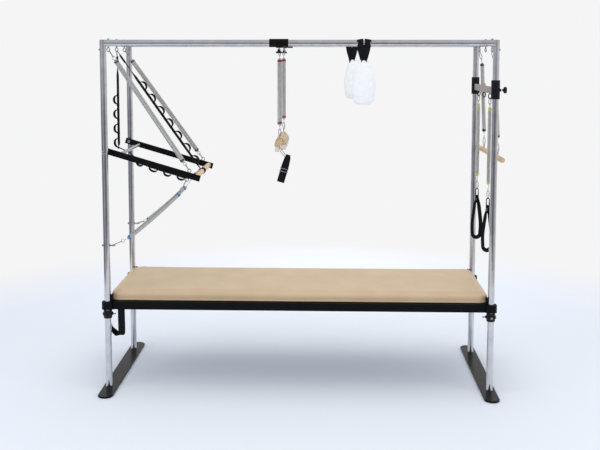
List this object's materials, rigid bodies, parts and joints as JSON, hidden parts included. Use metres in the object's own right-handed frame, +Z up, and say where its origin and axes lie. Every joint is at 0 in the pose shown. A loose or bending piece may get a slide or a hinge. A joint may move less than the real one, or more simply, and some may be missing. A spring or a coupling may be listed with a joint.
{
  "type": "pilates trapeze table",
  "caption": "Padded bed inside a tall steel tube canopy with a sprung push bar, a trapeze on a trolley, leg springs, a roll down bar and fleece cuffs.",
  "frame": {"origin": "on the floor midway between the four posts", "axes": "+X along the bed from the push bar end to the end bar, +Y across it from the front to the back, +Z up"},
  "size_m": [2.3633, 0.99, 2.0893],
  "materials": {
    "steel": "polished",
    "zinc_steel": "satin",
    "gloss_black_paint": "gloss",
    "satin_black_paint": "satin",
    "black_plastic": "satin",
    "deck_board": "painted",
    "maple": "satin varnish",
    "tan_coated_fabric": "soft sheen",
    "black_webbing": "matte",
    "beige_canvas": "matte",
    "white_fleece": "woolly"
  },
  "bodies": {
    "frame": {"post_front_left": "steel", "post_rear_left": "steel", "post_front_right": "steel", "post_rear_right": "steel", "top_rail_front": "steel", "top_rail_rear": "steel", "top_end_tube_left": "steel", "top_end_tube_right": "steel", "canopy_eyebolt_left_front": "zinc_steel", "canopy_eyebolt_left_middle": "zinc_steel", "canopy_eyebolt_left_rear": "zinc_steel", "canopy_eyebolt_right_front": "zinc_steel", "canopy_eyebolt_right_middle": "zinc_steel", "canopy_eyebolt_right_rear": "zinc_steel", "post_eyebolt_front": "zinc_steel", "post_eyebolt_rear": "zinc_steel", "push_bar_upper_spring_front": "zinc_steel", "push_bar_upper_spring_rear": "zinc_steel", "push_bar_lower_spring_front": "zinc_steel", "push_bar_lower_spring_rear": "zinc_steel", "foot_plate_left": "gloss_black_paint", "foot_plate_right": "gloss_black_paint", "bed_end_frame_left": "satin_black_paint", "bed_end_frame_right": "satin_black_paint", "bed_side_rail_front": "satin_black_paint", "bed_side_rail_rear": "satin_black_paint", "support_collar_front_left": "satin_black_paint", "support_collar_rear_left": "satin_black_paint", "support_collar_front_right": "satin_black_paint", "support_collar_rear_right": "satin_black_paint", "bed_deck": "deck_board", "mattress": "tan_coated_fabric", "bed_safety_strap": "black_webbing", "daisy_strap_taut": "black_webbing", "daisy_strap_slack": "black_webbing"},
    "push_bar": {"push_bar_arm_front": "satin_black_paint", "push_bar_arm_rear": "satin_black_paint", "push_bar_cross_rod": "zinc_steel", "push_bar_handle": "maple"},
    "trolley": {"trolley": "satin_black_paint"},
    "trolley_knob_front": {"trolley_knob_front": "black_plastic"},
    "trolley_knob_rear": {"trolley_knob_rear": "black_plastic"},
    "trapeze": {"trapeze_spring_front": "zinc_steel", "trapeze_spring_rear": "zinc_steel", "trapeze_bar": "maple", "trapeze_sling": "beige_canvas", "trapeze_foot_strap": "black_webbing"},
    "end_slide": {"end_slide": "satin_black_paint"},
    "end_slide_knob_front": {"end_slide_knob_front": "black_plastic"},
    "end_slide_knob_rear": {"end_slide_knob_rear": "black_plastic"},
    "leg_spring_front": {"leg_spring_front": "zinc_steel", "leg_loop_front": "black_webbing"},
    "leg_spring_rear": {"leg_spring_rear": "zinc_steel", "leg_loop_rear": "black_webbing"},
    "roll_down": {"roll_down_spring_front": "zinc_steel", "roll_down_spring_rear": "zinc_steel", "roll_down_bar": "maple"},
    "fleece_cuff_front": {"fleece_cuff_front": "white_fleece"},
    "fleece_cuff_rear": {"fleece_cuff_rear": "white_fleece"}
  },
  "joints": [
    {"name": "push_bar_swing", "type": "hinge", "parent": "frame", "child": "push_bar", "pos_m": [-1.13, 0, 1.427], "axis": [0, -1, 0], "range_deg": [0, 60], "stiffness_Nm_per_rad": 8, "deforming": ["push_bar_upper_spring_front", "push_bar_upper_spring_rear", "push_bar_lower_spring_front", "push_bar_lower_spring_rear", "daisy_strap_taut", "daisy_strap_slack"]},
    {"name": "trolley_slide", "type": "slide", "parent": "frame", "child": "trolley", "axis": [1, 0, 0], "range_m": [-0.18, 0.28]},
    {"name": "trolley_knob_front_turn", "type": "hinge", "parent": "trolley", "child": "trolley_knob_front", "pos_m": [-0.112, -0.34, 2.02], "axis": [0, 0, 1], "continuous": true},
    {"name": "trolley_knob_rear_turn", "type": "hinge", "parent": "trolley", "child": "trolley_knob_rear", "pos_m": [-0.112, 0.34, 2.02], "axis": [0, 0, 1], "continuous": true},
    {"name": "trapeze_swing", "type": "hinge", "parent": "trolley", "child": "trapeze", "pos_m": [-0.112, 0, 2.0335], "axis": [0, 1, 0], "range_deg": [-20, 20]},
    {"name": "end_bar_slide", "type": "slide", "parent": "frame", "child": "end_slide", "axis": [0, 0, 1], "range_m": [-0.2, 0.09]},
    {"name": "end_slide_knob_front_turn", "type": "hinge", "parent": "end_slide", "child": "end_slide_knob_front", "pos_m": [1.17, -0.34, 1.792], "axis": [1, 0, 0], "continuous": true},
    {"name": "end_slide_knob_rear_turn", "type": "hinge", "parent": "end_slide", "child": "end_slide_knob_rear", "pos_m": [1.17, 0.34, 1.792], "axis": [1, 0, 0], "continuous": true},
    {"name": "leg_spring_front_swing", "type": "hinge", "parent": "end_slide", "child": "leg_spring_front", "pos_m": [1.127, -0.19, 1.7505], "axis": [0, 1, 0], "range_deg": [0, 45]},
    {"name": "leg_spring_rear_swing", "type": "hinge", "parent": "end_slide", "child": "leg_spring_rear", "pos_m": [1.127, 0.19, 1.7505], "axis": [0, 1, 0], "range_deg": [0, 45]},
    {"name": "roll_down_swing", "type": "hinge", "parent": "frame", "child": "roll_down", "pos_m": [1.13, 0, 2.022], "axis": [0, -1, 0], "range_deg": [0, 35]},
    {"name": "fleece_cuff_front_swing", "type": "hinge", "parent": "frame", "child": "fleece_cuff_front", "pos_m": [0.376, -0.34, 2.06], "axis": [1, 0, 0], "range_deg": [-12, 12]},
    {"name": "fleece_cuff_rear_swing", "type": "hinge", "parent": "frame", "child": "fleece_cuff_rear", "pos_m": [0.328, 0.34, 2.06], "axis": [1, 0, 0], "range_deg": [-12, 12]}
  ]
}
